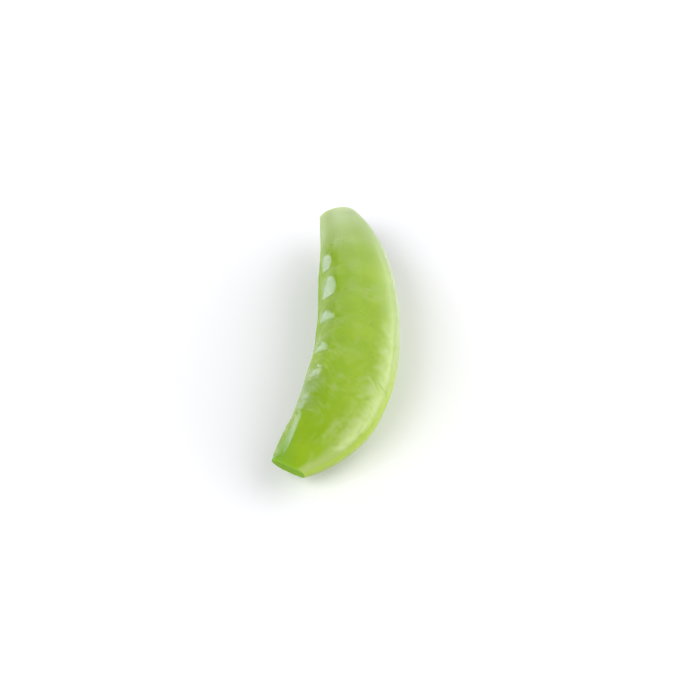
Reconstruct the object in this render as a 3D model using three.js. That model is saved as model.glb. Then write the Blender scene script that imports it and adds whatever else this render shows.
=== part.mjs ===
// Trimmed sugar snap pea pod, lying on one of its flat sides.
//
// Millimetres, +Z up. The pod lies along X: the blossom end, trimmed off square, is at -X and the
// stem end, trimmed off too, is at +X. The string side (the concave, straighter suture) faces +Y and
// the back suture (the convex one) faces -Y. The origin is the middle of the pod's footprint box,
// on the surface it lies on.
//
// The pod grew as one piece, so it is one solid. It is a loft: at each station u (0 at the blossom
// end, 1 at the stem end) a rounded, slightly boxy section spans from the back suture line to the
// string suture line. Rows of shallow swellings show where the peas sit, each suture stands up as a
// low ridge, and the side it lies on is pressed flat over a narrow patch.

import * as THREE from "three";
import { mergeVertices } from "three/addons/utils/BufferGeometryUtils.js";

// ---- driving dimensions (mm)
// The two suture lines in plan, from the blossom end to the stem end.
const STRING_SUTURE = [
  [-33.2, 9.75], [-26.38, 8.27], [-19.59, 7.07], [-12.87, 6.41], [-6.17, 5.87], [0.58, 6.14],
  [7.35, 6.76], [14.11, 7.62], [20.86, 8.2], [27.41, 9.13], [33.31, 10.05],
];
const BACK_SUTURE = [
  [-35.97, 3.6], [-31.6, -2.71], [-25.05, -7.31], [-16.98, -9.56], [-8.67, -10.16], [-0.33, -9.75],
  [7.87, -8.51], [15.91, -6.58], [23.78, -3.88], [30.93, -0.1], [36.18, 3.26],
];
// At the same eleven stations: half of the pod's thickness, how far its middle plane rises, how far
// the section is rolled, as a slope, string side up, and how far the back suture curls up again.
const HALF_THICKNESS = [1.55, 3.7, 5.0, 5.75, 6.12, 6.25, 6.18, 5.92, 5.25, 3.95, 1.85];
const LIFT = [-0.9, -0.45, -0.15, -0.02, 0, 0, 0, 0.02, 0.1, 0.28, 0.5];
const ROLL = [0, 0.02, 0.05, 0.08, 0.1, 0.12, 0.12, 0.12, 0.1, 0.07, 0.05];
const BACK_RAISE = [0, 0.9, 1.5, 2, 2.15, 2.05, 1.9, 1.65, 1.25, 0.65, 0];
const REST_FLAT_DEPTH = 0.35; // how much of the underside is pressed flat
// Section shape: 2 is an ellipse, more is boxier.
const SECTION_POWER = { back: 2.2, string: 2.8, blossomEnd: 3.4, stemEnd: 1.9 };
const END_SPAN = 0.12; // share of the length over which the section leans towards the end's
const CUT_SLANT_BLOSSOM = -0.35; // shift along the pod per mm of height, over the last stations
const CUT_SLANT_STEM = 0.1;
const CUT_SLANT_SPAN = 0.05;
const STRING_RIDGE = { height: 0.18, width: 0.6 };
const BACK_RIDGE = { height: 0.06, width: 0.5 };
// Where each pea sits, as a share of the length, and how full it is.
const PEAS = [
  [0.125, 1], [0.232, 1], [0.339, 1], [0.446, 1], [0.554, 1], [0.661, 1], [0.768, 1], [0.85, 0.45],
];
const PEA_WIDTH = 0.036;
const PEA_SWELL_FACE = 0.1; // on the flat of the pod
const PEA_SWELL_SHOULDER = 0.16; // beside the string suture

// ---- mesh fineness
const STATIONS = 84;
const AROUND = 56;
const RING_SAMPLES = 480;

const vectors = (points) => points.map(([x, y]) => new THREE.Vector2(x, y));
const stringLine = new THREE.SplineCurve(vectors(STRING_SUTURE));
const backLine = new THREE.SplineCurve(vectors(BACK_SUTURE));
const profile = (values) =>
  new THREE.SplineCurve(values.map((v, i) => new THREE.Vector2(i / (values.length - 1), v)));
const halfThickness = profile(HALF_THICKNESS);
const lift = profile(LIFT);
const roll = profile(ROLL);
const backRaise = profile(BACK_RAISE);
const middleHeight = Math.max(...HALF_THICKNESS) - REST_FLAT_DEPTH;

const clamp01 = (v) => Math.min(1, Math.max(0, v));
const ramp = (x, low, high) => {
  const t = clamp01((x - low) / (high - low));
  return t * t * (3 - 2 * t);
};
const bell = (x, width) => Math.exp(-((x / width) ** 2));
const signedPower = (v, p) => Math.sign(v) * Math.abs(v) ** p;

// A point of the skin: u along the pod, angle round it (0 at the string suture, 90 degrees on top).
function skinPoint(u, angle) {
  const string = stringLine.getPoint(u);
  const back = backLine.getPoint(u);
  const middle = string.clone().add(back).multiplyScalar(0.5);
  const half = string.clone().sub(back).multiplyScalar(0.5);
  const a = half.length();
  const across = half.clone().divideScalar(a);
  const along = new THREE.Vector2(across.y, -across.x);
  const toEnd = Math.min(u, 1 - u);
  const c = Math.cos(angle);
  const s = Math.sin(angle);

  const lean = clamp01(1 - toEnd / END_SPAN) ** 1.5;
  const full = SECTION_POWER.back + (SECTION_POWER.string - SECTION_POWER.back) * ramp(c, -0.4, 0.9);
  const end = u < 0.5 ? SECTION_POWER.blossomEnd : SECTION_POWER.stemEnd;
  const power = full * (1 - lean) + end * lean;
  const cc = signedPower(c, 2 / power);
  const ss = signedPower(s, 2 / power);

  const fullness = PEAS.reduce((sum, [at, size]) => sum + size * bell(u - at, PEA_WIDTH), -0.5);
  const swell =
    PEA_SWELL_FACE * bell(cc - 0.15, 0.6) + PEA_SWELL_SHOULDER * bell(cc - 0.8, 0.22);
  const z = halfThickness.getPoint(u).y * ss + fullness * ss * swell * clamp01(toEnd / 0.1);
  const ridge =
    c > 0
      ? STRING_RIDGE.height * bell(z, STRING_RIDGE.width)
      : -BACK_RIDGE.height * bell(z, BACK_RIDGE.width);
  const y = a * cc + ridge * clamp01(Math.abs(c) * 3 - 1);

  const turn = roll.getPoint(u).y;
  const y1 = y - turn * z;
  const z1 = z + turn * y + backRaise.getPoint(u).y * clamp01(-cc) ** 1.5;

  const slant =
    clamp01(1 - u / CUT_SLANT_SPAN) ** 1.2 * CUT_SLANT_BLOSSOM +
    clamp01(1 - (1 - u) / CUT_SLANT_SPAN) ** 1.2 * CUT_SLANT_STEM;
  return new THREE.Vector3(
    middle.x + across.x * y1 + along.x * z1 * slant,
    middle.y + across.y * y1 + along.y * z1 * slant,
    Math.max(0, middleHeight + lift.getPoint(u).y + z1),
  );
}

// One ring of the skin, evenly spaced over its top and over its underside, closer together beside
// the two sutures.
function ring(u) {
  const fine = [];
  const way = [0];
  for (let i = 0; i <= RING_SAMPLES; i++) {
    fine.push(skinPoint(u, (i / RING_SAMPLES) * 2 * Math.PI));
    if (i) way.push(way[i - 1] + fine[i].distanceTo(fine[i - 1]));
  }
  const topLength = way[RING_SAMPLES / 2];
  const underLength = way[RING_SAMPLES] - topLength;
  const points = [];
  let k = 0;
  for (let j = 0; j < AROUND; j++) {
    const t = (j % (AROUND / 2)) / (AROUND / 2);
    const crowded = t - (0.5 * Math.sin(2 * Math.PI * t)) / (2 * Math.PI);
    const target = j < AROUND / 2 ? crowded * topLength : topLength + crowded * underLength;
    while (way[k + 1] < target) k++;
    const f = (target - way[k]) / (way[k + 1] - way[k] || 1);
    points.push(fine[k].clone().lerp(fine[k + 1], f));
  }
  return points;
}

// A capped cylinder gives the skin's grid and the two cut faces; each vertex moves to its place on
// the pod, and the middle of each cut face to the middle of its ring.
function podGeometry() {
  const grid = new THREE.CylinderGeometry(1, 1, 1, AROUND, STATIONS);
  grid.deleteAttribute("normal");
  grid.deleteAttribute("uv");
  const merged = mergeVertices(grid, 1e-5);
  const position = merged.getAttribute("position");
  const rings = Array.from({ length: STATIONS + 1 }, (_, i) => ring(i / STATIONS));
  for (let i = 0; i < position.count; i++) {
    const here = rings[Math.round((position.getY(i) + 0.5) * STATIONS)];
    const column = Math.atan2(position.getX(i), position.getZ(i)) / (2 * Math.PI);
    const p =
      Math.hypot(position.getX(i), position.getZ(i)) < 0.5
        ? here.reduce((sum, q) => sum.add(q), new THREE.Vector3()).divideScalar(AROUND)
        : here[(Math.round(column * AROUND) + AROUND) % AROUND];
    position.setXYZ(i, p.x, p.y, p.z);
  }
  merged.computeBoundingBox();
  const box = merged.boundingBox;
  merged.translate(-(box.min.x + box.max.x) / 2, -(box.min.y + box.max.y) / 2, -box.min.z);
  merged.computeVertexNormals();
  return merged;
}

const skin = new THREE.MeshStandardMaterial({ color: 0x8fb83a, roughness: 0.28, metalness: 0 });
const pod = new THREE.Mesh(podGeometry(), skin);
pod.name = "pod";

const peaPod = new THREE.Group();
peaPod.name = "sugar_snap_pea";
peaPod.add(pod);

export default peaPod;
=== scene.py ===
import math

import bpy
import numpy as np
from mathutils import Matrix


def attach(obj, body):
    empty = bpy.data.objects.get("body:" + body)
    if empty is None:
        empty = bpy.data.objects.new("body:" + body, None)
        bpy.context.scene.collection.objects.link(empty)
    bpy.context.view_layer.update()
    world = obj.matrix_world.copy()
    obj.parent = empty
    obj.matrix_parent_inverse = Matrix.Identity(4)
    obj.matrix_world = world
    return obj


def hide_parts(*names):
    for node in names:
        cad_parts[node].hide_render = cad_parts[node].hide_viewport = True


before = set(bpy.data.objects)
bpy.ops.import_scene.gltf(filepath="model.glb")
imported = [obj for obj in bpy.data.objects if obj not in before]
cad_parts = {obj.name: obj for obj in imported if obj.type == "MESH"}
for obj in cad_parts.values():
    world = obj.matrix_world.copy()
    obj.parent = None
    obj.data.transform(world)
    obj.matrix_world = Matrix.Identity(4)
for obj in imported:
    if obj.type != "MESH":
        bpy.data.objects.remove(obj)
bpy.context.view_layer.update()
MM = 0.001

# ------------------------------------------------------------------ the pod's form (mm), as in the CAD model
STRING_SUTURE = [
    [-33.2, 9.75], [-26.38, 8.27], [-19.59, 7.07], [-12.87, 6.41], [-6.17, 5.87], [0.58, 6.14],
    [7.35, 6.76], [14.11, 7.62], [20.86, 8.2], [27.41, 9.13], [33.31, 10.05],
]
BACK_SUTURE = [
    [-35.97, 3.6], [-31.6, -2.71], [-25.05, -7.31], [-16.98, -9.56], [-8.67, -10.16], [-0.33, -9.75],
    [7.87, -8.51], [15.91, -6.58], [23.78, -3.88], [30.93, -0.1], [36.18, 3.26],
]
HALF_THICKNESS = [1.55, 3.7, 5.0, 5.75, 6.12, 6.25, 6.18, 5.92, 5.25, 3.95, 1.85]
LIFT = [-0.9, -0.45, -0.15, -0.02, 0, 0, 0, 0.02, 0.1, 0.28, 0.5]
ROLL = [0.0, 0.02, 0.05, 0.08, 0.1, 0.12, 0.12, 0.12, 0.1, 0.07, 0.05]
BACK_RAISE = [0.0, 0.9, 1.5, 2.0, 2.15, 2.05, 1.9, 1.65, 1.25, 0.65, 0.0]
REST_FLAT_DEPTH = 0.35
PEAS = [(0.125, 1), (0.232, 1), (0.339, 1), (0.446, 1), (0.554, 1), (0.661, 1), (0.768, 1), (0.85, 0.45)]  # (share of the length, size)
PEA_WIDTH = 0.036
LENGTH = 75.0  # along the middle of the pod


def spline(points, t):
    """Uniform Catmull-Rom through points at t in 0..1, end points held."""
    p = np.asarray(points, float)
    one = p.ndim == 1
    if one:
        p = p[:, None]
    n = len(p)
    x = (n - 1) * np.asarray(t, float)
    i = np.minimum(np.floor(x).astype(int), n - 2)
    w = (x - i)[..., None]
    p0, p1, p2, p3 = p[np.where(i == 0, 0, i - 1)], p[i], p[i + 1], p[np.minimum(i + 2, n - 1)]
    v0, v1 = (p2 - p0) * 0.5, (p3 - p1) * 0.5
    out = (2 * p1 - 2 * p2 + v0 + v1) * w**3 + (-3 * p1 + 3 * p2 - 2 * v0 - v1) * w**2 + v0 * w + p1
    return out[..., 0] if one else out


def bell(x, width):
    return np.exp(-((x / width) ** 2))


def ramp(x, low, high):
    t = np.clip((x - low) / (high - low), 0, 1)
    return t * t * (3 - 2 * t)


def noise(x, y, seed, wrap=None):
    """Gradient noise of about -1..1 on a unit lattice; wrap is the lattice's period in y, or None."""
    rng = np.random.default_rng(seed)
    size = 256
    turn = rng.random((size, size)) * 2 * math.pi
    gx, gy = np.cos(turn), np.sin(turn)
    xi, yi = np.floor(x).astype(int), np.floor(y).astype(int)
    xf, yf = x - xi, y - yi
    u, v = xf**3 * (xf * (xf * 6 - 15) + 10), yf**3 * (yf * (yf * 6 - 15) + 10)

    def corner(dx, dy):
        a = (xi + dx) % size
        b = (yi + dy) % (wrap or size)
        return gx[a, b] * (xf - dx) + gy[a, b] * (yf - dy)

    low = corner(0, 0) * (1 - u) + corner(1, 0) * u
    high = corner(0, 1) * (1 - u) + corner(1, 1) * u
    return 1.6 * (low * (1 - v) + high * v)


def section(u, theta):
    """Points of the pod, in mm, for arrays u (0..1 along it) and theta (0 at the string suture, +pi/2 on top)."""
    string, back = spline(STRING_SUTURE, u), spline(BACK_SUTURE, u)
    middle, half = (string + back) / 2, (string - back) / 2
    a = np.hypot(half[..., 0], half[..., 1])
    across = half / a[..., None]
    along = np.stack([across[..., 1], -across[..., 0]], -1)
    to_end = np.minimum(u, 1 - u)
    lean = np.clip(1 - to_end / 0.12, 0, 1) ** 1.5
    c, s = np.cos(theta), np.sin(theta)
    end = np.where(u < 0.5, 3.4, 1.9)
    power = (2.2 + 0.6 * ramp(c, -0.4, 0.9)) * (1 - lean) + end * lean
    cc = np.sign(c) * np.abs(c) ** (2 / power)
    ss = np.sign(s) * np.abs(s) ** (2 / power)
    swelling = (sum(size * bell(u - at, PEA_WIDTH) for at, size in PEAS) - 0.5) * ss * np.clip(to_end / 0.1, 0, 1)
    z = spline(HALF_THICKNESS, u) * ss + swelling * (0.10 * bell(cc - 0.15, 0.6) + 0.16 * bell(cc - 0.8, 0.22))
    ridge = np.where(c > 0, 0.18 * bell(z, 0.6), -0.06 * bell(z, 0.5)) * np.clip(np.abs(c) * 3 - 1, 0, 1)
    y = a * cc + ridge
    y, z = y - spline(ROLL, u) * z, z + spline(ROLL, u) * y + spline(BACK_RAISE, u) * np.clip(-cc, 0, 1) ** 1.5
    slant = np.clip(1 - u / 0.05, 0, 1) ** 1.2 * -0.35 + np.clip(1 - (1 - u) / 0.05, 0, 1) ** 1.2 * 0.1
    p = np.zeros(np.broadcast(u, theta).shape + (3,))
    p[..., :2] = middle + across * y[..., None] + along * (z * slant)[..., None]
    p[..., 2] = max(HALF_THICKNESS) - REST_FLAT_DEPTH + spline(LIFT, u) + z
    return p


def outward(p):
    """Unit normals of a grid of points whose second index goes round the pod."""
    du = np.gradient(p, axis=0)
    dt = (np.roll(p, -1, 1) - np.roll(p, 1, 1)) / 2
    n = np.cross(du, dt)
    n /= np.maximum(np.linalg.norm(n, axis=-1, keepdims=True), 1e-12)
    centre = p.mean(1, keepdims=True)
    if ((p - centre) * n).sum(-1).mean() < 0:
        n = -n
    return n


# ------------------------------------------------------------------ the fine skin
ALONG, TOP_ROWS, UNDER_ROWS = 322, 172, 118
AROUND = TOP_ROWS + UNDER_ROWS
EDGE = 0.0035  # where the skin turns over into a cut face
u_row = np.linspace(EDGE, 1 - EDGE, ALONG + 1)

# rows round the pod are spaced by skin distance, closer together beside the two sutures
x_top, x_under = np.arange(TOP_ROWS) / TOP_ROWS, np.arange(UNDER_ROWS) / UNDER_ROWS
crowd = 0.5 / (2 * math.pi)
w_row = np.concatenate([
    0.5 * (x_top - crowd * np.sin(2 * math.pi * x_top)),
    0.5 + 0.5 * (x_under - crowd * np.sin(2 * math.pi * x_under)),
])


def spaced(u):
    """Angles that put a row of w_row at the same share of the way round the section at each u."""
    theta = np.linspace(0, 2 * math.pi, 1441)
    ring = section(u[:, None], theta[None])
    step = np.linalg.norm(np.diff(ring, axis=1), axis=-1)
    out = np.zeros((len(u), AROUND))
    for i in range(len(u)):
        top, under = step[i, :720], step[i, 720:]
        way = np.concatenate([[0], np.cumsum(top) / top.sum() * 0.5, 0.5 + np.cumsum(under) / under.sum() * 0.5])
        out[i] = np.interp(w_row, way, theta)
    return out, step[:, :720].sum(1)[:, None], step[:, 720:].sum(1)[:, None]


TH, top_mm, under_mm = spaced(u_row)
U = np.broadcast_to(u_row[:, None], TH.shape)
W = np.broadcast_to(w_row[None], TH.shape)  # 0..1 round the pod from the string suture over the top
base = section(U, TH)
N = outward(base)
S = U * LENGTH  # mm along
on_top = W < 0.5
side = np.where(on_top, 1.0, -1.0)
from_string = np.where(on_top, 2 * W * top_mm, 2 * (1 - W) * under_mm)  # mm over the skin from the string suture
from_back = np.where(on_top, (1 - 2 * W) * top_mm, (2 * W - 1) * under_mm)
to_end = np.minimum(U, 1 - U)


# ------------------------------------------------------------------ the skin's relief, in mm
# The wall beside the string suture swells over each pea and is creased between them. Each row is one swelling:
# (where it starts along the pod, how far it stands out, crest as a share of its length, its middle and half width
# measured in from the string); it ends where the next starts.
SWELLINGS = [
    (11.6, 0.20, 0.36, 4.6, 2.2),
    (19.6, 0.21, 0.41, 6.0, 2.1),
    (26.6, 0.45, 0.37, 5.0, 2.3),
    (35.5, 0.36, 0.36, 4.8, 3.1),
    (42.4, 0.38, 0.61, 5.9, 2.4),
    (51.0, 0.52, 0.66, 4.7, 3.2),
]
SWELLINGS_END = 58.6
LAST_CREST = 56.0  # past its crest the last one fades away softly
LEAN_IN = 0.16  # mm along per mm inward: how far the creases between peas lean towards the stem end


def peas_relief(along, inward):
    out = np.zeros_like(along)
    ends = [row[0] for row in SWELLINGS[1:]] + [SWELLINGS_END]
    for shift in (-0.2, -0.07, 0.07, 0.2):  # rounds the creases off a little
        s0 = along - LEAN_IN * np.clip(inward - 3.0, -2, 5) + shift
        fade = 1 - ramp(s0, LAST_CREST, LAST_CREST + 9.0)
        s0 = np.minimum(s0, LAST_CREST)
        for (a, height, crest, middle, half), b in zip(SWELLINGS, ends):
            t = np.clip((s0 - a) / (b - a), 0, 1) ** (math.log(0.5) / math.log(crest))
            reach = 5.2 if b == SWELLINGS_END else 6.6
            out += height * t * (1 - t) * bell(inward - middle, half) * fade * (1 - ramp(inward, reach, reach + 2.6))
    return out


def gloss_of(along, inward):
    """How glossy the shoulder is: each swelling is polished from its start to its crest and duller behind it."""
    s0 = along - LEAN_IN * np.clip(inward - 3.0, -2, 5)
    ends = [row[0] for row in SWELLINGS[1:]] + [SWELLINGS_END]
    out = 1 - ramp(s0, 10.3, 11.3)
    for (a, height, crest, middle, half), b in zip(SWELLINGS, ends):
        top = a + crest * (b - a)
        out = out + ramp(s0, a - 0.4, a + 0.5) * (1 - ramp(s0, top + 0.1, top + 1.9))
    out = np.maximum(np.clip(out, 0.12, 1), 0.6 * (1 - ramp(along, 19, 25)))
    scuffed = 1 - ramp(noise((along + 0.8 * inward) / 0.9, inward / 2.5 - along / 6, 73), -0.1, 0.7)
    out = out * (1 - 0.4 * scuffed * (1 - ramp(along, 10, 13)))
    out = out + (1 - out) * ramp(inward, 4.6, 6.2)
    return np.where(on_top, out, 0.7)


def dish(x, middle, half):
    return np.clip(1 - ((x - middle) / half) ** 2, 0, 1)


rise = np.zeros_like(U)
both = np.where(on_top, 1.0, 0.7)
rise += both * ramp(S, 8, 13) * peas_relief(S, from_string)
# the crease behind the fifth pea closes up inward
rise += 0.045 * bell(S - 51.3 - LEAN_IN * (from_string - 3), 1.5) * ramp(from_string, 4.2, 5.6) * (1 - ramp(from_string, 7.2, 9.2))
# the shoulder's long flattened facets, with a rounded corner towards the string suture
rise += both * ramp(S, 14, 24) * (1 - ramp(S, 60, 68)) * (0.13 * bell(from_string - 2.77, 1.07) - 0.18 * dish(from_string, 4.94, 1.75))
near_mid = 0.90 + 0.150 * S
off = from_string - near_mid
rise += both * ramp(S, 0.3, 2.0) * (1 - ramp(S, 8.2, 11.3)) * (0.16 * bell(off + 1.38, 1.04) - 0.29 * dish(off, -0.09, 1.28) - 0.130 * off * (1 - ramp(np.abs(off), 0.89, 2.72)))

# small oblique puckers over the blossom end's facet
rise += both * ramp(S, 1.0, 3.0) * (1 - ramp(S, 9.5, 12.5)) * ramp(from_string, 0.5, 1.5) * (1 - ramp(off, 0.8, 2.2)) * 0.080 * noise((S + 0.8 * from_string) / 0.95, W * 30 + S / 6, 71, 30)

# string suture: a thread-thin groove between two slightly ragged lips
ragged = 0.05 * noise(S / 1.3, side * 0.5 + 7, 3) + 0.04 * noise(S / 0.45, side * 0.5 + 3, 4)
seam = ramp(to_end * LENGTH, 0.0, 2.0) * (1 - 0.85 * ramp(S, 62.0, 69.0))
rise += seam * (-0.06 * bell(from_string, 0.12) + 0.045 * bell(from_string - 0.30 - ragged, 0.16) - 0.03 * bell(from_string - 1.3, 0.5))
# back suture: a fine keel, clearest on the blossom half
rise += seam * (0.015 + 0.045 * (1 - ramp(S, 14, 30))) * bell(from_back, 0.22)
# slow unevenness of the walls
calm = ramp(from_string, 5.0, 9.0)
rise += 0.05 * noise(S / 9.0, W * 6, 11, 6) + 0.022 * noise(S / 3.6, W * 12, 12, 12)

# wrinkles that run in from the string suture over the third and fourth peas
flow = S - 0.75 * from_string
patchy = ramp(noise(S / 3.2, W * 16, 24, 16), -0.35, 0.5)
zone = ramp(S, 10.5, 13.5) * (1 - ramp(S, 23.0, 27.5)) * ramp(from_string, 1.8, 3.2) * (1 - ramp(from_string, 5.5, 9.5))
fold = noise(flow / 0.95 + 0.7 * noise(S / 3.0, W * 12, 21, 12), W * 11, 22, 11)
rise += zone * patchy * 0.045 * fold
# fainter ones everywhere along the shoulder
zone = ramp(to_end * LENGTH, 2, 8) * ramp(from_string, 1.5, 3.0) * (1 - ramp(from_string, 5.0, 8.0)) * (1 - ramp(S, 44, 60))
rise += zone * 0.010 * noise(flow / 0.7, W * 16, 23, 16)
# the faint pebbling of the skin
rise += 0.0045 * noise(S / 0.9, W * 52, 31, 52) + 0.004 * noise(S / 2.1, W * 24, 32, 24)


def crease(s1, q1, s2, q2, depth, width):
    """A groove (or, with depth below 0, a welt) from one point of the top of the skin to another, in mm along and mm from the string."""
    ds, dq = s2 - s1, q2 - q1
    length = math.hypot(ds, dq)
    t = ((S - s1) * ds + (from_string - q1) * dq) / length**2
    off = np.abs((S - s1) * dq - (from_string - q1) * ds) / length
    fade = np.clip(4 * t * (1 - t), 0, 1) ** 0.6
    return np.where(on_top, -depth * bell(off, width) * fade, 0.0)


# Pallor of the skin, as a tone: above 0 is pale, below 0 is clear deep green. The soft blotches everywhere are the
# skin's own colour; the patches towards the back suture on the blossom half and the streaks beside the string follow
# the wrinkled skin, and their pallor is painted sheen, a painted reflection of the lights.
def patches(size, seed, soft=0.75):
    n = round(45 / size)
    return np.clip(noise(S / size + 0.8 * noise(S / 3.0, W * 15, seed + 1, 15), W * n, seed, n) / soft, -1, 1)


near_half = ramp(S, 4.5, 9) * (1 - ramp(S, 32, 46))
zone_back = near_half * ramp(from_back, 0.7, 1.7) * (1 - ramp(from_back, 6.0, 10.0))
zone_string = ramp(S, 10.5, 13.5) * (1 - ramp(S, 23, 33)) * ramp(from_string, 1.8, 3.0) * (1 - ramp(from_string, 7.5, 11.5))
zone_face = ramp(S, 8, 14) * (1 - ramp(S, 42, 60))
rough_patch = 0.75 * patches(2.3, 53) + 0.3 * patches(1.0, 57)
down = S + 0.95 * from_string
streak = np.clip(1.3 * noise(down / 0.75, (from_string - 0.95 * S) / 3.4 + 0.6 * noise(S / 2, W * 20, 61, 20), 60), -1, 1)
blotch = patches(4.2, 63, 0.6)
tone = 0.25 * zone_face * blotch + (0.05 + 0.80 * zone_back) * rough_patch + (0.10 * zone_face + 0.36 * zone_string) * streak
tone += 0.45 * zone_string * rough_patch
# pale streaks over the blossom end's facet: painted reflection of the window, broken up by the puckers
zone_facet = ramp(S, 0.6, 2.0) * (1 - ramp(S, 10.5, 13.0)) * (1 - ramp(off, -0.6, 0.6))
tone += zone_facet * (0.25 + np.clip(1.7 * noise(down / 0.6, (from_string - 0.9 * S) / 2.6, 81), -0.9, 1.2))
rise += 0.010 * zone_back * rough_patch + (0.003 * zone_face + 0.012 * zone_string) * streak

# single creases and scars: mm along and mm from the string of both ends, depth, width, tone. Besides the relief, the
# tone paints shade into the grooves (deeper green) and painted highlights on the raised welts and small dots (paler);
# the wide olive mark at 29-30 mm is the skin's own colour.
for s1, q1, s2, q2, depth, width, shade in [
    (17.9, 3.6, 19.3, 8.0, 0.05, 0.28, -0.5),
    (19.9, 3.4, 24.6, 6.4, -0.02, 0.35, 0.3),
    (13.6, 3.0, 14.2, 7.6, 0.03, 0.22, -0.6),
    (12.2, 3.6, 13.2, 6.3, 0.03, 0.22, -0.7),
    (15.6, 5.4, 15.2, 7.9, 0.03, 0.24, -0.9),
    (15.2, 3.8, 14.9, 5.6, -0.01, 0.50, 0.7),
    (13.5, 4.0, 13.1, 5.6, -0.01, 0.35, 0.6),
    (11.6, 5.5, 11.9, 7.1, -0.03, 0.22, 1.0),
    (15.4, 5.4, 14.4, 11.5, 0.02, 0.40, -0.3),
    (17.3, 10.8, 17.5, 13.4, 0.02, 0.28, -0.6),
    (17.6, 12.8, 19.0, 15.2, 0.015, 0.25, -0.5),
    (22.9, 8.2, 19.7, 13.2, -0.012, 0.25, 0.45),
    (21.6, 7.0, 18.6, 10.2, -0.012, 0.22, 0.4),
    (42.5, 5.3, 39.6, 7.1, -0.01, 0.35, 0.35),
    (30.1, 4.4, 33.6, 8.4, -0.01, 0.40, 0.35),
    (50.0, 10.2, 51.4, 11.5, 0.01, 0.35, -0.35),
    (31.5, 16.8, 30.2, 18.4, 0.04, 0.22, -1.0),
    (22.4, 17.2, 21.8, 19.4, 0.04, 0.22, -1.0),
    (23.1, 15.9, 20.8, 18.1, 0.04, 0.22, -1.0),
    (18.2, 15.5, 17.9, 18.6, 0.012, 0.24, -0.45),
    (17.7, 16.1, 17.9, 18.2, -0.02, 0.28, 0.9),
    (17.4, 17.3, 16.5, 19.3, 0.04, 0.24, -1.0),
    (12.0, 13.4, 11.9, 15.2, 0.03, 0.26, -0.8),
    (11.6, 15.3, 10.4, 15.3, 0.03, 0.26, -0.7),
    (10.9, 13.9, 11.2, 14.9, -0.04, 0.40, 0.9),
    (22.2, 15.3, 22.6, 16.1, -0.05, 0.45, 0.9),
    (27.9, 14.8, 28.1, 15.2, -0.03, 0.22, 0.8),
    (11.7, 12.7, 11.9, 13.0, -0.04, 0.20, 1.0),
    (1.4, 8.3, 4.8, 8.9, -0.01, 0.45, 0.45),
    (29.2, 8.2, 30.4, 9.7, 0.01, 0.80, -0.7),
]:
    mark = crease(s1, q1, s2, q2, 1.0, width)
    rise += depth * mark
    tone -= 0.8 * shade * mark
P = base + N * rise[..., None]
# pressed flat, with a soft edge, where it lies on the surface
k = 0.12
floor_gap = (P[..., 2] + np.sqrt(P[..., 2] ** 2 + k * k)) / 2
P[..., 2] = floor_gap - floor_gap.min()


# ------------------------------------------------------------------ cut faces
RINGS = [(0.40, 1.0), (0.78, 0.990), (0.97, 0.970), (1.0, 0.93), (1.0, 0.84), (1.0, 0.70), (1.0, 0.50), (1.0, 0.26)]  # (share of the way over the edge, size)


def cut_face(row, u_end, out_sign, seed):
    """Rings from the skin's last row over the cut edge to the middle of the cut face."""
    rim = P[row]
    string, back = spline(STRING_SUTURE, np.array([u_end]))[0], spline(BACK_SUTURE, np.array([u_end]))[0]
    wide = (string - back) / np.linalg.norm(string - back)
    wide = np.array([wide[0], wide[1], 0.0])
    axial = np.array([wide[1], -wide[0], 0.0]) * out_sign  # out of the cut face
    flat = section(np.full(AROUND, u_end), TH[row]) + (P[row] - base[row])
    flat[:, 2] = np.maximum(flat[:, 2], 0)
    centre = flat.mean(0)
    half_wide = np.abs((flat - centre) @ wide).max()
    rings = []
    for forward, share in RINGS:
        ring = centre + (rim * (1 - forward) + flat * forward - centre) * share
        y, z = (ring - centre) @ wide, ring[:, 2] - centre[2]
        inside = ramp(1 - share, 0.0, 0.12)
        hollow = -0.16 * ramp(1 - share, 0.02, 0.5)
        slit = -0.14 * bell(z - 0.12 * np.sin(y * 1.1), 0.14) * ramp(1 - np.abs(y) / half_wide, 0.05, 0.3)
        torn = 0.035 * noise(y / 0.9 + 5, z / 0.7 + 3, seed) + 0.015 * noise(y / 0.35 + 5, z / 0.3 + 3, seed + 1)
        ring = ring + axial * ((hollow + slit + torn) * inside)[:, None]
        rings.append(ring)
    return rings, centre - axial * 0.22


near_rings, near_middle = cut_face(0, 0.0, -1, 41)
far_rings, far_middle = cut_face(ALONG, 1.0, 1, 43)

index = np.arange((ALONG + 1) * AROUND).reshape(ALONG + 1, AROUND)
verts, quads, fans, kind = [P.reshape(-1, 3)], [], [], [np.zeros(index.size)]


def strip(lower, upper):
    """Quads between two rings of vertex numbers; upper lies further towards the stem end."""
    quads.append(np.stack([lower, upper, np.roll(upper, -1), np.roll(lower, -1)], 1))


for i in range(ALONG):
    strip(index[i], index[i + 1])
count = index.size
for rings, middle, first, near in ((near_rings, near_middle, index[0], True), (far_rings, far_middle, index[-1], False)):
    previous = first
    for r, ring in enumerate(rings):
        here = np.arange(AROUND) + count
        count += AROUND
        verts.append(ring)
        kind.append(np.full(AROUND, (0.3, 0.75)[r] if r < 2 else 1.0))
        strip(*((here, previous) if near else (previous, here)))
        previous = here
    verts.append(middle[None])
    kind.append(np.ones(1))
    tip = np.full(AROUND, count)
    count += 1
    ahead_one = np.roll(previous, -1)
    fans.append(np.stack([previous, ahead_one, tip] if near else [ahead_one, previous, tip], 1))

verts = np.concatenate(verts) * MM
kind = np.concatenate(kind)
quads = np.concatenate(quads)
fans = np.concatenate(fans)

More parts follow.
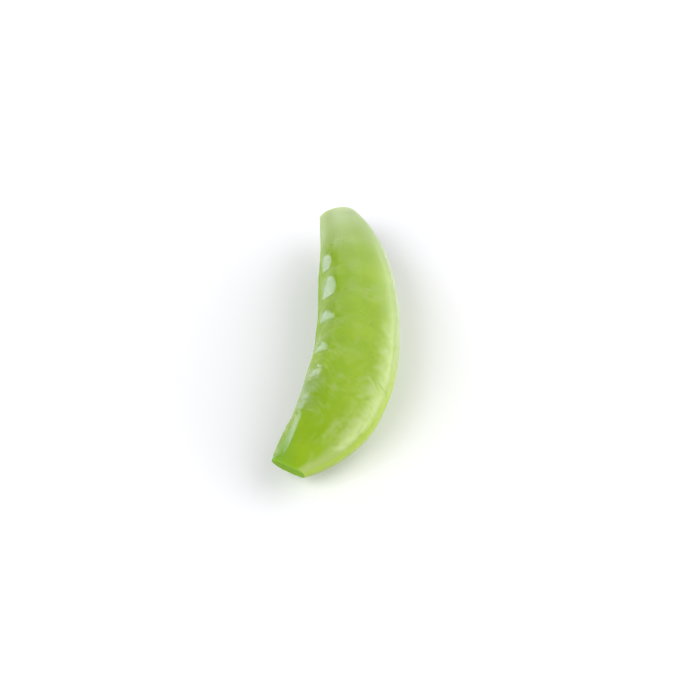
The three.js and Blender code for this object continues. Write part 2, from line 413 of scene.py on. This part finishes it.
mesh = bpy.data.meshes.new("pea_pod")
mesh.vertices.add(len(verts))
mesh.vertices.foreach_set("co", verts.astype(np.float32).ravel())
loops = np.concatenate([quads.ravel(), fans.ravel()])
mesh.loops.add(len(loops))
mesh.loops.foreach_set("vertex_index", loops.astype(np.int32))
starts = np.concatenate([np.arange(len(quads)) * 4, len(quads) * 4 + np.arange(len(fans)) * 3])
mesh.polygons.add(len(starts))
mesh.polygons.foreach_set("loop_start", starts.astype(np.int32))
mesh.update(calc_edges=True)
mesh.validate()
mesh.polygons.foreach_set("use_smooth", np.ones(len(mesh.polygons), bool))
print("triangles", 2 * len(quads) + len(fans))


def attribute(name, skin_values, cap_value=0.0):
    values = np.full(len(verts), cap_value, np.float32)
    values[: index.size] = np.asarray(skin_values, np.float32).ravel()
    mesh.attributes.new(name, "FLOAT", "POINT").data.foreach_set("value", values)


attribute("along_mm", S)
attribute("from_string_mm", from_string, 3.0)
attribute("from_back_mm", from_back, 3.0)
attribute("tone", np.clip(tone, -1.2, 1.2))
attribute("gloss", gloss_of(S, from_string), 1.0)
mesh.attributes.new("cut", "FLOAT", "POINT").data.foreach_set("value", kind.astype(np.float32))

pod = bpy.data.objects.new("pea_pod", mesh)
bpy.context.scene.collection.objects.link(pod)


# ------------------------------------------------------------------ materials
def skin_material():
    m = bpy.data.materials.new("pod_skin")
    m.use_nodes = True
    tree = m.node_tree
    tree.nodes.clear()
    link = tree.links.new
    out = tree.nodes.new("ShaderNodeOutputMaterial")
    bsdf = tree.nodes.new("ShaderNodeBsdfPrincipled")
    link(bsdf.outputs["BSDF"], out.inputs["Surface"])
    for name, value in {
        "IOR": 1.42,
        "Specular IOR Level": 0.36,
        "Subsurface Weight": 0.6,
        "Subsurface Radius": (0.8, 1.0, 0.25),
        "Subsurface Scale": 0.0022,
        "Coat Roughness": 0.07,
        "Coat IOR": 1.6,
    }.items():
        bsdf.inputs[name].default_value = value
    coord = tree.nodes.new("ShaderNodeTexCoord").outputs["Object"]

    def attr(name):
        n = tree.nodes.new("ShaderNodeAttribute")
        n.attribute_name = name
        return n.outputs["Fac"]

    def tex(scale, detail=3.0, rough=0.55):
        n = tree.nodes.new("ShaderNodeTexNoise")
        n.inputs["Scale"].default_value = scale
        n.inputs["Detail"].default_value = detail
        n.inputs["Roughness"].default_value = rough
        link(coord, n.inputs["Vector"])
        return n.outputs["Fac"]

    def put(value, socket):
        if isinstance(value, tuple):
            socket.default_value = (*value, 1)
        elif isinstance(value, (int, float)):
            socket.default_value = value
        else:
            link(value, socket)

    def span(value, low, high, to_low=0.0, to_high=1.0):
        n = tree.nodes.new("ShaderNodeMapRange")
        n.interpolation_type = "SMOOTHSTEP"
        for socket, v in zip(n.inputs, (value, low, high, to_low, to_high)):
            put(v, socket)
        return n.outputs["Result"]

    def calc(op, a, b=0.0):
        n = tree.nodes.new("ShaderNodeMath")
        n.operation = op
        put(a, n.inputs[0])
        put(b, n.inputs[1])
        return n.outputs[0]

    def mix(factor, a, b):
        n = tree.nodes.new("ShaderNodeMix")
        n.data_type = "RGBA"
        put(factor, n.inputs[0])
        put(a, n.inputs[6])
        put(b, n.inputs[7])
        return n.outputs[2]

    fresh, deep, pale = (0.272, 0.422, 0.0100), (0.238, 0.388, 0.0080), (0.345, 0.495, 0.030)
    colour = mix(span(tex(150, 4.0), 0.36, 0.66), deep, fresh)
    colour = mix(calc("MULTIPLY", span(tex(800, 3.0), 0.55, 0.75), 0.16), colour, pale)
    seam = calc("ADD", span(attr("from_string_mm"), 0.7, 0.15), span(attr("from_back_mm"), 0.8, 0.1))
    colour = mix(calc("MULTIPLY", seam, 0.5), colour, pale)
    along, from_back, from_string = attr("along_mm"), attr("from_back_mm"), attr("from_string_mm")
    # paler towards the back suture, partly the skin's own pallor and partly a painted reflection of the broad soft
    # light at the right; the back suture itself stays a clearer yellow-green line on the blossom half
    near_back = span(from_back, span(along, 3.0, 13.0, 2.8, 9.5), span(along, 20.0, 36.0, 1.6, 0.3))
    back_sheen = mix(span(along, 24.0, 40.0), (0.340, 0.422, 0.125), (0.245, 0.335, 0.078))
    colour = mix(calc("MULTIPLY", near_back, 0.77), colour, back_sheen)
    rim = calc("MULTIPLY", span(from_back, span(along, 4.0, 18.0, 1.1, 2.4), span(along, 4.0, 18.0, 0.5, 1.3)), span(along, 44.0, 26.0, 0.35, 0.9))
    colour = mix(rim, colour, (0.328, 0.450, 0.045))
    # paler and whitish towards the stem end: a painted reflection of the bright sweep behind; and a pale painted sheen
    # over the third and fourth peas beside the string
    colour = mix(calc("MULTIPLY", span(along, 48.0, 68.0), 0.40), colour, (0.240, 0.340, 0.110))
    stem_sheen = calc("MULTIPLY", span(along, 57.0, 67.0), span(from_string, 8.5, 4.5))
    colour = mix(calc("MULTIPLY", stem_sheen, 0.50), colour, (0.400, 0.500, 0.200))
    colour = mix(calc("MULTIPLY", span(along, 70.5, 74.5), 0.30), colour, (0.620, 0.690, 0.380))
    colour = mix(span(along, 57.0, 67.0, 0.0, 0.17), colour, (0.520, 0.600, 0.400))
    # a paler band along the back flank of the stem half: painted light filling the darker band where the flank turns
    # down towards the floor
    far_back = calc("MULTIPLY", span(from_back, 4.6, 1.8), calc("MULTIPLY", span(along, 38.0, 47.0), span(along, 64.0, 58.0)))
    colour = mix(calc("MULTIPLY", far_back, 0.55), colour, (0.330, 0.395, 0.270))
    outer = calc("MULTIPLY", span(from_back, 3.3, 2.1), calc("MULTIPLY", span(along, 26.0, 38.0), span(along, 66.0, 58.0)))
    colour = mix(calc("MULTIPLY", outer, 0.60), colour, (0.400, 0.500, 0.270))
    inner = calc("MULTIPLY", span(from_back, 4.9, 3.9), calc("MULTIPLY", span(along, 26.0, 38.0), span(along, 66.0, 58.0)))
    colour = mix(calc("MULTIPLY", inner, 0.32), colour, (0.400, 0.490, 0.270))
    # pale painted sheen over the third and fourth peas beside the string, standing in for the window's reflection on
    # the wrinkled skin; the same zone also dulls the coat
    haze_sheen_and_dull = calc("MULTIPLY", span(along, 10.5, 13.5), span(along, 23.5, 19.0))
    haze_sheen_and_dull = calc("MULTIPLY", haze_sheen_and_dull, calc("MULTIPLY", span(from_string, 2.0, 3.4), span(from_string, 9.0, 5.0)))
    colour = mix(calc("MULTIPLY", haze_sheen_and_dull, 0.55), colour, (0.260, 0.365, 0.170))
    # cooler green at the corner between the blossom end's cut and the string
    cool = calc("MULTIPLY", span(along, 9.0, 2.0), span(from_string, 7.0, 2.0))
    colour = mix(calc("MULTIPLY", cool, 0.6), colour, (0.150, 0.340, 0.035))
    # a pale patch on the blossom half beside the back suture: painted highlight of the broad soft light at the right
    low = calc("MULTIPLY", calc("MULTIPLY", span(from_back, 0.9, 2.2), span(from_back, 6.5, 2.8)), calc("MULTIPLY", span(along, 4.0, 9.0), span(along, 18.0, 12.0)))
    colour = mix(calc("MULTIPLY", low, 0.13), colour, (0.640, 0.740, 0.370))
    bright = calc("MULTIPLY", span(from_back, 12.0, 6.5), calc("MULTIPLY", span(along, 7.0, 15.0), span(along, 60.0, 48.0)))
    colour = mix(calc("MULTIPLY", bright, 0.12), colour, (0.430, 0.580, 0.060))
    calm = calc("MULTIPLY", span(from_string, 11.0, 7.0), calc("MULTIPLY", span(along, 24.0, 30.0), span(along, 56.0, 50.0)))
    colour = mix(calc("MULTIPLY", calm, 0.30), colour, (0.180, 0.335, 0.005))
    # darker green in the strip beside the string on the stem half: painted shade that offsets the bright reflection of
    # the floor there; the same strip is also rougher
    beside = calc("MULTIPLY", span(from_string, 4.4, 2.6), span(along, 20.0, 26.0))
    colour = mix(calc("MULTIPLY", beside, calc("MULTIPLY", span(along, 64.0, 56.0), 0.5)), colour, (0.190, 0.350, 0.004))
    tone = attr("tone")
    colour = mix(calc("MULTIPLY", tone, 0.60), colour, (0.410, 0.490, 0.200))
    colour = mix(calc("MULTIPLY", tone, -0.85), colour, (0.220, 0.352, 0.005))
    cut = attr("cut")
    # cut faces: the flesh is painted much darker than the skin, as painted shade, and lighter lime towards the back
    # suture
    flesh_and_shade = mix(span(tex(420, 3.0), 0.3, 0.7), (0.044, 0.152, 0.0004), (0.062, 0.184, 0.0005))
    flesh_and_shade = mix(span(from_back, 8.0, 0.5), flesh_and_shade, (0.205, 0.372, 0.0006))
    colour = mix(cut, colour, flesh_and_shade)
    link(colour, bsdf.inputs["Base Color"])
    rough = calc("ADD", span(tex(240, 4.0), 0.3, 0.7, 0.26, 0.36), calc("MULTIPLY", cut, 0.25))
    rough = calc("ADD", rough, calc("MULTIPLY", beside, 0.22))
    link(calc("ADD", rough, calc("MULTIPLY", near_back, 0.12)), bsdf.inputs["Roughness"])
    glossy = calc("SUBTRACT", 1.0, calc("MULTIPLY", span(from_back, 10.0, 3.5), 0.5))
    glossy = calc("MULTIPLY", glossy, span(from_string, 2.3, 3.7))
    glossy = calc("MULTIPLY", glossy, calc("SUBTRACT", 1.0, calc("MULTIPLY", haze_sheen_and_dull, 0.5)))
    glossy = calc("MULTIPLY", glossy, calc("SUBTRACT", 1.0, calc("MULTIPLY", rim, 0.85)))
    glossy = calc("MULTIPLY", calc("MULTIPLY", glossy, attr("gloss")), span(along, 59.0, 64.0, 1.0, 0.45))
    shade = calc("MULTIPLY", calc("MULTIPLY", span(along, 49.0, 50.4), span(along, 54.0, 52.2)), calc("MULTIPLY", span(from_string, 4.6, 5.4), span(from_string, 9.5, 7.5)))
    glossy = calc("MULTIPLY", glossy, calc("SUBTRACT", 1.0, calc("MULTIPLY", shade, 0.8)))
    link(calc("MULTIPLY", glossy, span(cut, 0.0, 1.0, 1.0, 0.0)), bsdf.inputs["Coat Weight"])

    bump = tree.nodes.new("ShaderNodeBump")
    bump.inputs["Strength"].default_value = 0.3
    bump.inputs["Distance"].default_value = 0.00003
    link(tex(2400, 2.0), bump.inputs["Height"])
    link(bump.outputs["Normal"], bsdf.inputs["Normal"])
    return m


pod.data.materials.append(skin_material())
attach(pod, "root")
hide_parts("pod")

# ------------------------------------------------------------------ floor, light, camera
bpy.ops.mesh.primitive_plane_add(size=6, location=(0, 0, 0))
floor = bpy.context.object
floor.name = "floor"
fm = bpy.data.materials.new("floor_white")
fm.use_nodes = True
fb = fm.node_tree.nodes["Principled BSDF"]
fb.inputs["Base Color"].default_value = (0.81, 0.81, 0.81, 1)
fb.inputs["Roughness"].default_value = 0.6
fb.inputs["Specular IOR Level"].default_value = 0.2
floor.data.materials.append(fm)

VIEW_TURN = math.radians(7.3)
TILT = math.radians(44)
FORWARD = np.array([math.cos(VIEW_TURN), math.sin(VIEW_TURN), 0.0])
RIGHT = np.array([math.sin(VIEW_TURN), -math.cos(VIEW_TURN), 0.0])

# The studio: a bright sweep behind that darkens towards the ceiling, a broad soft light at the
# right and a window at the left. Bearings are in degrees to the right of straight behind the pod,
# heights in degrees above the floor.
BEHIND = [(0, 1.1), (5, 1.5), (10, 1.72), (20, 1.25), (30, 0.80), (40, 0.56), (50, 0.40), (60, 0.34), (70, 0.28), (80, 0.12), (90, 0.08)]
FRONT = [(0, 0.5), (45, 0.5), (60, 0.45), (75, 0.20), (90, 0.08)]
RIGHT_LIGHT = dict(level=2.1, bearing=(14, 60, 115, 140), height=(-2, 12, 40, 74))
LEFT_LIGHT = dict(level=4.0, bearing=(-175, -150, -105, -85), height=(18, 32, 58, 66))
DARK_LEFT = dict(share=0.75, bearing=(-125, -95, -26, -6))
WINDOW = dict(level=3.6, bearing=(-72, -41.3), height=(1, 34), edge=1.2, colour=(0.66, 0.64, 1.0))

world = bpy.data.worlds.new("studio")
bpy.context.scene.world = world
world.use_nodes = True
wt = world.node_tree
wt.nodes.clear()


def wput(value, socket):
    if isinstance(value, (int, float, tuple)):
        socket.default_value = value
    else:
        wt.links.new(value, socket)


def wcalc(op, a, b=0.0):
    n = wt.nodes.new("ShaderNodeMath")
    n.operation = op
    wput(a, n.inputs[0])
    wput(b, n.inputs[1])
    return n.outputs[0]


def wspan(value, low, high, to_low=0.0, to_high=1.0):
    n = wt.nodes.new("ShaderNodeMapRange")
    n.interpolation_type = "SMOOTHSTEP"
    for socket, v in zip(n.inputs, (value, low, high, to_low, to_high)):
        wput(v, socket)
    return n.outputs["Result"]


def wdot(vector):
    n = wt.nodes.new("ShaderNodeVectorMath")
    n.operation = "DOT_PRODUCT"
    wt.links.new(direction, n.inputs[0])
    n.inputs[1].default_value = tuple(vector)
    return n.outputs["Value"]


def by_height(stops):
    """A level that changes evenly between the given heights."""
    n = wt.nodes.new("ShaderNodeFloatCurve")
    curve = n.mapping.curves[0]
    top = max(v for _, v in stops)
    n.mapping.clip_min_x = n.mapping.clip_min_y = 0
    n.mapping.clip_max_x = n.mapping.clip_max_y = 1
    points = [(h / 90, v / top) for h, v in stops]
    curve.points[0].location = points[0]
    curve.points[1].location = points[-1]
    for place in points[1:-1]:
        curve.points.new(*place)
    for point in curve.points:
        point.handle_type = "VECTOR"
    n.mapping.update()
    wput(wcalc("DIVIDE", height, 90.0), n.inputs["Value"])
    return wcalc("MULTIPLY", n.outputs["Value"], top)


direction = wt.nodes.new("ShaderNodeTexCoord").outputs["Generated"]
bearing = wcalc("DEGREES", wcalc("ARCTAN2", wdot(RIGHT), wdot(FORWARD)))
height = wcalc("MAXIMUM", wcalc("DEGREES", wcalc("ARCSINE", wdot((0, 0, 1)))), 0.0)
frontness = wspan(wcalc("ABSOLUTE", bearing), 125.0, 150.0)
a0, a1, a2, a3 = DARK_LEFT["bearing"]
dark = wcalc("MULTIPLY", wspan(bearing, a0, a1), wspan(bearing, a2, a3, 1.0, 0.0))
behind = wcalc("MULTIPLY", by_height(BEHIND), wcalc("SUBTRACT", 1.0, wcalc("MULTIPLY", dark, DARK_LEFT["share"])))
level = wcalc("ADD", wcalc("MULTIPLY", behind, wcalc("SUBTRACT", 1.0, frontness)), wcalc("MULTIPLY", by_height(FRONT), frontness))
for light in (RIGHT_LIGHT, LEFT_LIGHT):
    (b0, b1, b2, b3), (h0, h1, h2, h3) = light["bearing"], light["height"]
    wide = wcalc("MULTIPLY", wspan(bearing, b0, b1), wspan(bearing, b2, b3, 1.0, 0.0))
    tall = wcalc("MULTIPLY", wspan(height, h0, h1), wspan(height, h2, h3, 1.0, 0.0))
    level = wcalc("ADD", level, wcalc("MULTIPLY", wcalc("MULTIPLY", wide, tall), light["level"]))
e = WINDOW["edge"]
(w0, w1), (v0, v1) = WINDOW["bearing"], WINDOW["height"]
pane = wcalc("MULTIPLY", wspan(bearing, w0 - e, w0 + e), wspan(bearing, w1 - e, w1 + e, 1.0, 0.0))
pane = wcalc("MULTIPLY", pane, wcalc("MULTIPLY", wspan(height, v0 - e, v0 + e), wspan(height, v1 - e, v1 + e, 1.0, 0.0)))
plain = wt.nodes.new("ShaderNodeBackground")
wput(level, plain.inputs["Strength"])
plain.inputs["Color"].default_value = (1, 1, 1, 1)
window = wt.nodes.new("ShaderNodeBackground")
window.inputs["Color"].default_value = (*WINDOW["colour"], 1)
window.inputs["Strength"].default_value = WINDOW["level"]
blend = wt.nodes.new("ShaderNodeMixShader")
wput(pane, blend.inputs[0])
wt.links.new(plain.outputs[0], blend.inputs[1])
wt.links.new(window.outputs[0], blend.inputs[2])
wt.links.new(blend.outputs[0], wt.nodes.new("ShaderNodeOutputWorld").inputs["Surface"])

scene = bpy.context.scene
scene.view_settings.view_transform = "Standard"

cam_data = bpy.data.cameras.new("camera")
cam_data.sensor_width = 36
cam_data.lens = 121.5
cam = bpy.data.objects.new("camera", cam_data)
scene.collection.objects.link(cam)
forward = FORWARD * math.cos(TILT) - np.array([0, 0, math.sin(TILT)])
up = np.cross(RIGHT, forward)
focal = 2362.5
ray = forward * focal + RIGHT * (336.5 - 350) - up * (342.5 - 350)
ray /= np.linalg.norm(ray)
target = np.array([-1.94434, 2.14577, 6.2]) * MM
eye = target - 0.450 * ray
cam.matrix_world = Matrix((
    (RIGHT[0], up[0], -forward[0], eye[0]),
    (RIGHT[1], up[1], -forward[1], eye[1]),
    (RIGHT[2], up[2], -forward[2], eye[2]),
    (0, 0, 0, 1),
))
scene.camera = cam
